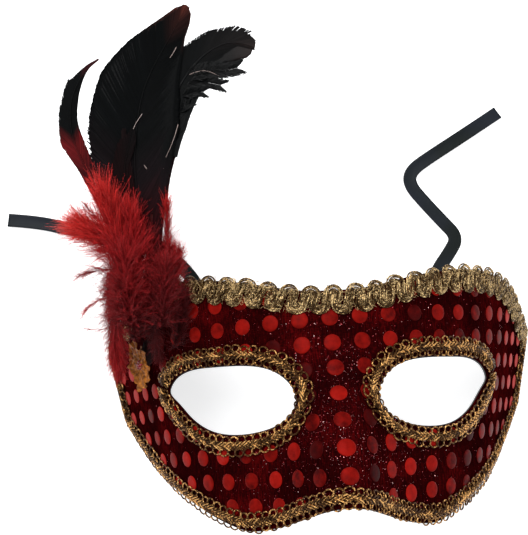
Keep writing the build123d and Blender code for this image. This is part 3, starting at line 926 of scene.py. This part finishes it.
def vane(
    shape, stations, lift, seed, pitch=0.36, lean=(46, 26), camber=0.8, split=2.5, web=0.9, fray=1.0
):
    """A feather through stations (x, y, width to the left, width to the right): web, barbs and shaft."""
    draw = np.random.default_rng(seed)
    stations = np.array(stations, float)
    shaft = smooth_line(stations[:, :2], STEP)
    knots = run_along(stations[:, :2])
    knots /= knots[-1]
    run = np.linspace(0, 1, len(shaft))
    length = STEP * (len(shaft) - 1)
    ahead = unit(np.gradient(shaft, axis=0))
    left = np.stack([-ahead[:, 1], ahead[:, 0]], axis=-1)

    def sag(t, width):
        return camber * t**2 * np.minimum(width, 12) / 12

    share = np.linspace(-1, 1, WEB_COLUMNS)
    side_width = np.where(share[None] > 0, np.interp(run, knots, stations[:, 2])[:, None],
                          np.interp(run, knots, stations[:, 3])[:, None])
    ragged = web + 0.005 * np.sin(run * length * 1.9) + 0.004 * np.sin(run * length * 4.3 + 1)
    flat = shaft[:, None] + left[:, None] * (share * side_width * ragged[:, None])[..., None]
    sheet = raised(flat, lift - 0.14 - sag(share[None], side_width))
    both = np.concatenate([sheet, sheet[:, ::-1] - [0, 0, 0.12]], axis=1)[None]
    tone = np.broadcast_to(run[:, None], both.shape[1:3])
    shape.add(both, band_quads(len(run), WEB_COLUMNS), tone=tone, chance=0.35)

    for side, column in ((1, 2), (-1, 3)):
        count = int(length / pitch)
        u = np.clip((np.arange(count) + draw.uniform(-0.25, 0.25, count)) / (count - 1), 0, 1)
        root, on, off = sample(shaft, run, u), unit(sample(ahead, run, u)), sample(left, run, u) * side
        groups = max(3, count // 11)
        drift = np.interp(u, np.linspace(0, 1, groups), draw.normal(0, split, groups))
        close = 1 - 0.7 * np.clip((u - 0.86) / 0.14, 0, 1) ** 1.5
        slant = (lean[0] + (lean[1] - lean[0]) * u**1.5 + drift) * close
        angle = np.radians(slant + draw.normal(0, 0.8, count))
        tip = u
        for _ in range(14):
            width = np.interp(tip, knots, stations[:, column])
            tip = 0.5 * tip + 0.5 * np.minimum(u + FORWARD * width / np.tan(angle) / length, 1.0)
        width = np.minimum(width, (1.01 - u) * length * np.tan(angle) / FORWARD)
        width = width * (fray + draw.normal(0, 0.015, count))
        reach = width / np.sin(angle)
        t = np.linspace(0, 1, 9)[None, :, None]
        flat = root[:, None] + reach[:, None, None] * (
            (on * np.cos(angle)[:, None] + off * np.sin(angle)[:, None])[:, None] * t
            + 0.12 * on[:, None] * t**2
        )
        lines = raised(flat, lift - sag(t[..., 0], width[:, None]))
        lines[..., 2] += draw.normal(0, 0.06, count)[:, None] * t[..., 0] + side * 0.02
        across = np.cross(UP, unit(np.gradient(lines, axis=1))) + UP * 0.30 * side
        half = pitch * (1.0 - 0.35 * t[..., 0] ** 3)
        tone = u[:, None] + 0.10 * t[..., 0] * (1 - u[:, None])
        strips(shape, lines, across, half, tone=tone, chance=draw.uniform(0, 1, count)[:, None])
    line = raised(shaft, lift + 0.12)
    thick = 0.5 * (1 - run) ** 0.7 + 0.08
    cords(shape, line[None], UP, thick[None], tone=run[None], chance=0.15, flat=0.7)


BLACK = (0.0010, 0.0014, 0.0016)
black_feather = feather_finish("black_feather", [
    (0.0, (0.03, 0.002, 0.003)), (0.25, (0.006, 0.003, 0.004)), (0.4, BLACK), (0.82, BLACK),
    (0.93, (0.02, 0.006, 0.005)), (1.0, (0.08, 0.018, 0.012)),
], 0.5, gloss=0.05)
curl_feather = feather_finish("curl_feather", [
    (0.0, BLACK), (0.6, BLACK), (0.85, (0.006, 0.005, 0.005)), (1.0, (0.016, 0.010, 0.009)),
], 0.45, gloss=0.10)
narrow_feather = feather_finish("narrow_feather", [
    (0.0, (0.03, 0.003, 0.004)), (0.26, (0.010, 0.002, 0.003)), (0.38, (0.07, 0.004, 0.005)),
    (0.48, (0.10, 0.005, 0.006)), (0.56, BLACK), (0.86, BLACK), (1.0, (0.06, 0.010, 0.012)),
], 0.5, gloss=0.06)
red_feather = feather_finish("red_feather", [
    (0.0, (0.06, 0.003, 0.004)), (0.35, (0.025, 0.002, 0.003)), (0.7, (0.010, 0.002, 0.003)),
    (1.0, (0.02, 0.003, 0.004)),
], 0.45, gloss=0.12)
streak_feather = feather_finish("streak_feather", [
    (0.0, (0.04, 0.002, 0.003)), (0.35, (0.006, 0.0012, 0.0015)), (1.0, (0.0015, 0.0012, 0.0014)),
], 0.5, gloss=0.05)
horn = feather_finish("quill_horn", [
    (0.0, (0.05, 0.004, 0.004)), (0.4, (0.45, 0.22, 0.18)), (1.0, (0.80, 0.66, 0.60)),
], 0.3, coat=0.4)

# Each feather: node, finish, slot, stations, lift over the plume's sheet, seed, and what sets its vane apart.
FEATHERS = [
    ("feather_tall", black_feather, "black_feather", [
        (-64, 58, 8, 3), (-68, 72, 12.6, 9), (-69.5, 88, 15.0, 13), (-68, 104, 17.8, 15),
        (-64.5, 118, 17.2, 13), (-58.5, 130, 12.8, 8.5), (-53.5, 138.5, 8.2, 4.8), (-50.8, 143.5, 5.4, 3.9),
        (-49.3, 146.6, 3.6, 2.9), (-48.6, 148.1, 1.7, 1.5),
    ], 0.6, 51, {"split": 1.2, "web": 1.03, "fray": 0.91}),
    ("feather_curled", curl_feather, "black_feather", [
        (-60, 92, 5, 6), (-58, 104, 7, 8), (-53, 116, 8, 8), (-46, 126, 7.6, 7.5), (-38.5, 132, 6.2, 7.5),
        (-32, 134, 5.0, 7.4), (-27.5, 133.4, 4.6, 6.2), (-24.6, 132.4, 3.4, 4.6), (-23.6, 132, 2.2, 2.8),
    ], -1.1, 52, {"pitch": 0.26, "lean": (42, 16), "split": 2.2, "web": 1.03, "fray": 0.95}),
    ("feather_back", red_feather, "red_feather", [
        (-66, 61, 4, 5), (-64, 78, 7, 6.4), (-59.5, 89, 8, 4), (-54.5, 100, 8, 2.2), (-51, 108.5, 4, 1.4),
    ], -2.4, 54, {"split": 1.5, "web": 0.96, "fray": 0.98}),
    ("feather_narrow", narrow_feather, "black_feather", [
        (-79, 64, 1.5, 1.5), (-83.5, 78, 2.2, 2.4), (-88.5, 90, 3.2, 3.2), (-92, 99, 4.6, 4.0),
        (-93, 106, 3.6, 3.0), (-92.4, 114, 3.2, 2.8), (-89.6, 121.2, 2.6, 1.5), (-86.2, 126.3, 0.9, 0.6),
        (-82.5, 129.2, 0.3, 0.25),
    ], -1.1, 55, {"pitch": 0.28, "lean": (30, 18), "camber": 0.4, "split": 4.0, "web": 0.88, "fray": 0.97}),
    ("feather_short", streak_feather, "red_feather", [
        (-71.5, 65, 2.0, 2.0), (-73, 76, 3.6, 3.4), (-73, 88, 3.6, 3.6), (-71, 96, 2.6, 2.4),
        (-69.8, 101, 0.8, 0.8),
    ], 1.7, 56, {"pitch": 0.4, "lean": (20, 10), "split": 7.0, "web": 0.5}),
]
LOBES = [                # soft brushes at the curled feather's tip: line, strands, their reach
    ([(-48, 120.5), (-43, 122.2), (-37, 123), (-32, 123.6), (-30, 124)], 700, 4.6),
    ([(-49, 118.5), (-44, 119), (-39, 118.2), (-36.5, 117.6)], 520, 3.8),
    ([(-49, 123), (-42, 124.4), (-36, 125)], 260, 3.6),
    ([(-51, 114), (-47, 115.2), (-43, 115.2)], 260, 3.6),
    ([(-52, 108), (-50, 110), (-48.5, 111)], 90, 3.2),
]


def lobes(shape):
    draw = np.random.default_rng(53)
    for path, count, reach in LOBES:
        line = smooth_line(path, 0.4)
        at = draw.integers(0, len(line) - 1, count)
        on = unit(np.gradient(line, axis=0))[at]
        off = np.stack([-on[:, 1], on[:, 0]], axis=-1) * draw.choice([-1, 1], count)[:, None]
        t = np.linspace(0, 1, 7)[None, :, None]
        long = reach * draw.uniform(0.5, 1, count)[:, None, None]
        flat = line[at][:, None] + long * ((on * 0.75 + off * 0.65)[:, None] * t + 0.15 * on[:, None] * t**2)
        lines = raised(flat, -1.0 + draw.normal(0, 0.5, (count, 1)) * t[..., 0])
        strips(shape, lines, np.cross(UP, np.gradient(lines, axis=1)), 0.13, tone=0.3)
        barbules(shape, lines, 1.1, 0.3, draw, 0.3, 0.4)


for name, material, slot, stations, lift, seed, settings in FEATHERS:
    feather = Shape()
    vane(feather, stations, lift, seed, **settings)
    if name == "feather_curled":
        lobes(feather)
    finish_piece(feather.piece(name + "_vane", material), "plume", slot, name)

QUILL_LINES = [          # shafts that show between the barbs: line, lift, radius, tone
    ([(-53, 103), (-55.5, 96), (-58, 91)], -0.1, 0.07, 0.8),
    ([(-59, 87), (-61, 83.5), (-64, 79.5)], -0.1, 0.07, 0.8),
    ([(-66, 107), (-69, 102.5), (-70.5, 98.5)], 1.4, 0.07, 0.85),
    ([(-72.5, 86), (-71.9, 83), (-71.6, 80)], 1.4, 0.07, 0.85),
    ([(-52.5, 132), (-53.6, 130), (-55, 128)], 1.4, 0.07, 0.85),
    ([(-66, 88), (-65, 86.5)], 1.4, 0.07, 0.85),
    ([(-48, 122), (-43, 123.2), (-37, 121)], -0.4, 0.07, 0.8),
    ([(-80, 68), (-83, 77), (-85, 84)], -0.2, 0.2, 0.5),
    ([(-79, 67), (-82, 76)], -0.2, 0.2, 0.5),
]
QUILL_ENDS = [(-66, 62), (-62, 64), (-69, 66), (-72, 66), (-76, 62), (-58, 60), (-64, 70)]
BUNCH = 1.15             # from the middle quill to the six round it, at the binding


def quill_shafts():
    shape = Shape()
    for path, lift, radius, tone in QUILL_LINES:
        flat = smooth_line(path, 1.0) if len(path) > 2 else spaced(np.array(path, float), 1.0)
        thick = radius * np.linspace(1, 0.5, len(flat))
        cords(shape, raised(flat, lift)[None], UP, thick[None], tone=tone, flat=0.8)
    t = np.linspace(0, 1, 14)[:, None]
    for i, (x, y) in enumerate(QUILL_ENDS):
        way = i * math.tau / 6
        aside, above = BUNCH * np.array([math.cos(way), math.sin(way)]) * (i > 0)
        foot = hinge + binding_way * 0.6 + binding_side * aside + binding_up * above
        end = np.array([x, y, plume_height(y) - 1.0 + 0.4 * i])
        line = foot + (end - foot) * t + binding_way * 9 * (t * (1 - t) ** 2)
        cords(shape, line[None], np.array([1.0, 0, 0]), np.linspace(0.62, 0.45, 14)[None], 8, tone=0.0)
    return shape.piece("quill_shafts", horn)


finish_piece(quill_shafts(), "plume", "quill", "quill_bundle")


# ---- Marabou down: soft barbs with fine barbules, in tufts along short shafts ----
CLEAR_OF_FACE = 3.2
CLEAR_OF_TABLE = 3.0
FACE_X, FACE_Y = (-92, 92), (-36, 50)      # what the mask covers, for down hanging over it
FOREHEAD_EDGE = 49
STRAND_HALF = 0.10
TUFT_FUZZ = 1.9          # length of the hairs on a strand
TUFT_FLATNESS = 0.6      # how far strands spread up and down, against sideways
TUFT_CURL = 0.22


def above_mask(lines):
    """Strands that would run into the mask lie on it instead."""
    x, y = np.clip(lines[..., 0], *FACE_X), np.clip(lines[..., 1], *FACE_Y)
    floor = np.where(lines[..., 1] < FOREHEAD_EDGE, height(x, y) + CLEAR_OF_FACE, CLEAR_OF_TABLE)
    lines[..., 2] = np.maximum(lines[..., 2], floor)
    return lines


def tuft(shape, path, lift, count, reach, spread, seed, tone, spacing=0.35):
    """Strands with fine hairs, along a short shaft laid over the plume's sheet."""
    draw = np.random.default_rng(seed)
    flat = smooth_line(path, 0.5)
    shaft = raised(flat, np.linspace(lift[0], lift[1], len(flat)))
    on = unit(np.gradient(shaft, axis=0))
    at = np.minimum((draw.uniform(0.0, 1, count) ** 0.8 * len(shaft)).astype(int), len(shaft) - 1)
    share = at / len(shaft)
    root, ahead = shaft[at], on[at]
    aside = unit(np.cross(UP, ahead))
    above = np.cross(ahead, aside)
    way = draw.uniform(0, math.tau, count)
    radial = aside * np.cos(way)[:, None] + above * (TUFT_FLATNESS * np.sin(way))[:, None]
    angle = np.radians(spread) * draw.uniform(0.15, 1.0, count) * (1 - 0.45 * share)
    start = unit(ahead * np.cos(angle)[:, None] + radial * np.sin(angle)[:, None])
    long = reach * draw.uniform(0.45, 1.05, count) * (1 - 0.25 * share)
    bend = draw.normal(0, TUFT_CURL, (count, 3)) + 0.18 * ahead - np.array([0, 0, 0.10])
    t = np.linspace(0, 1, 11)[None, :, None]
    wave = 0.03 * np.sin(t * math.tau * draw.uniform(0.8, 1.8, (count, 1, 1)) + way[:, None, None])
    curl = start[:, None] * t + bend[:, None] * t**2 + wave * above[:, None]
    lines = above_mask(root[:, None] + long[:, None, None] * curl)
    tones = tone[0] + (tone[1] - tone[0]) * (0.55 * t[..., 0] + 0.45 * share[:, None])
    lightness = draw.uniform(0, 1, count)[:, None]
    half = STRAND_HALF * (1 - 0.6 * t[..., 0])
    strips(shape, lines, draw.normal(0, 1, (count, 1, 3)), half, tone=tones, chance=lightness)
    barbules(shape, lines, TUFT_FUZZ, spacing, draw, tones, lightness, lean=0.9, base=0.045)


down_finish = feather_finish("red_down", [
    (0.0, (0.035, 0.0012, 0.002)), (0.3, (0.16, 0.004, 0.006)), (0.6, (0.44, 0.010, 0.012)),
    (0.85, (0.68, 0.028, 0.022)), (1.0, (0.85, 0.16, 0.13)),
], 0.6, gloss=0.25)

# Each piece of down: body, CAD node if it has one, and tufts. A tuft: line, lift at its two ends, strands,
# reach, spread in degrees, seed, tones from root to tip, and the hairs' spacing where it isn't the usual one.
DOWN = {
    "marabou_front_down": ("plume", ["marabou_front"], [
        ([(-74.6, 45), (-76.5, 60), (-79.5, 73)], (4, 7), 1700, 15, 55, 61, (0.35, 0.88)),
        ([(-71, 46), (-70.5, 58), (-71.5, 67)], (4, 6), 1000, 13, 55, 62, (0.25, 0.74)),
    ]),
    "marabou_middle_down": ("plume", [], [
        ([(-74, 30), (-74.5, 42), (-74, 52)], (5, 9), 1600, 16, 85, 63, (0.2, 0.58)),
        ([(-67, 34), (-66, 48), (-65, 60)], (1, 2), 1500, 9, 65, 78, (0.0, 0.28)),
        ([(-63, 30), (-61, 40), (-60, 49)], (5, 8), 1300, 12, 80, 66, (0.1, 0.48)),
    ]),
    "marabou_base_down": ("mask", [], [       # short down round the pad, which the plume's hinge leaves behind, and a dark tuft as painted shadow
        # Painted shadow: this sparse tuft of the darkest down lies where the mask is in shade, on the flower's
        # side towards the nose.
        ([(-59, 22), (-56, 31), (-54, 40)], (4, 5), 500, 8, 75, 75, (0.0, 0.16)),
        ([(-66, 32), (-66, 26), (-65.5, 20)], (5, 5), 420, 6, 80, 76, (0.0, 0.22)),
        ([(-74, 27), (-72.5, 34), (-70.5, 42)], (3, 4), 1500, 8.5, 85, 79, (0.05, 0.45)),
    ]),
    "marabou_right_down": ("plume", [], [
        ([(-62, 46), (-59.4, 58), (-58.6, 73)], (-1, 0), 420, 8.5, 48, 64, (0.1, 0.85)),
        ([(-62, 42), (-59, 50), (-58, 56)], (0, 1), 700, 8.5, 70, 80, (0.05, 0.6)),
        ([(-61, 38), (-57, 47), (-55, 54)], (3, 4), 500, 8, 65, 65, (0.2, 0.62)),
    ]),
    "marabou_left_down": ("plume", ["marabou_left"], [
        ([(-75, 55), (-82, 62), (-89, 66)], (4, 2), 2000, 13, 85, 67, (0.45, 0.97)),
        ([(-79, 51), (-87, 51), (-92, 50)], (2, 0), 90, 8, 40, 68, (0.2, 0.75), 0.7),
        ([(-80, 64), (-85, 70), (-88, 74)], (2, 1), 70, 6, 50, 69, (0.15, 0.7), 0.7),
    ]),
    "marabou_back_down": ("plume", ["marabou_back"], [
        ([(-70, 46), (-72, 56), (-73, 66)], (-5, -4), 700, 13, 75, 71, (0.1, 0.5)),
        ([(-65, 42), (-63.5, 50), (-62, 58)], (-5, -4), 700, 8.5, 75, 81, (0.0, 0.3)),
        ([(-79, 54), (-81, 46), (-81.5, 38)], (-1, 0), 900, 8.5, 75, 82, (0.15, 0.6)),
    ]),
    "marabou_lower_down": ("plume", ["marabou_lower"], [
        ([(-78.5, 42), (-80.5, 30), (-82.4, 19)], (5, 4), 1700, 8.5, 75, 72, (0.2, 0.66)),
        ([(-80, 25), (-81.5, 18), (-82.5, 14)], (3, 3), 700, 6, 60, 73, (0.2, 0.7)),
        ([(-80, 42), (-88, 40), (-91, 38)], (1, 0), 60, 7, 26, 74, (0.3, 0.9), 0.6),
        ([(-81, 32), (-88, 30.5), (-92, 31)], (0, 0), 22, 5, 24, 77, (0.3, 0.8), 0.8),
    ]),
}
for name, (body, nodes, tufts) in DOWN.items():
    down = Shape()
    for settings in tufts:
        tuft(down, *settings)
    finish_piece(down.piece(name, down_finish), body, "red_down", *nodes)

# ---- Floor, lights and surroundings ----
SPAN = 3.0               # metres, as are the lights' places and sizes
floor_mesh = bpy.data.meshes.new("floor")
corners = [(-SPAN, -SPAN, 0), (SPAN, -SPAN, 0), (SPAN, SPAN, 0), (-SPAN, SPAN, 0)]
floor_mesh.from_pydata(corners, [], [(0, 1, 2, 3)])
floor = bpy.data.objects.new("floor", floor_mesh)
bpy.context.scene.collection.objects.link(floor)
floor_mesh.materials.append(Look(
    "floor_paper", (0.93, 0.93, 0.93), 0.9, Emission_Color=(1, 1, 1, 1), Emission_Strength=0.6
).material)


def soft_light(name, where, towards, size, power):
    data = bpy.data.lights.new(name, "AREA")
    data.size, data.energy = size, power
    lamp = bpy.data.objects.new(name, data)
    bpy.context.scene.collection.objects.link(lamp)
    way = np.array(towards, float) - np.array(where, float)
    lamp.rotation_euler = Vector(way).to_track_quat("-Z", "Y").to_euler()
    lamp.location = where


soft_light("key", (-0.35, 0.55, 1.15), (0, 0, 0.05), 0.8, 15)
soft_light("fill", (0.9, -0.2, 0.8), (0, 0, 0.05), 0.7, 5)
world = bpy.data.worlds.new("studio")
world.use_nodes = True
world.node_tree.nodes["Background"].inputs["Color"].default_value = (0.95, 0.97, 1.0, 1)
world.node_tree.nodes["Background"].inputs["Strength"].default_value = 0.45
bpy.context.scene.world = world
bpy.context.scene.view_settings.view_transform = "Standard"
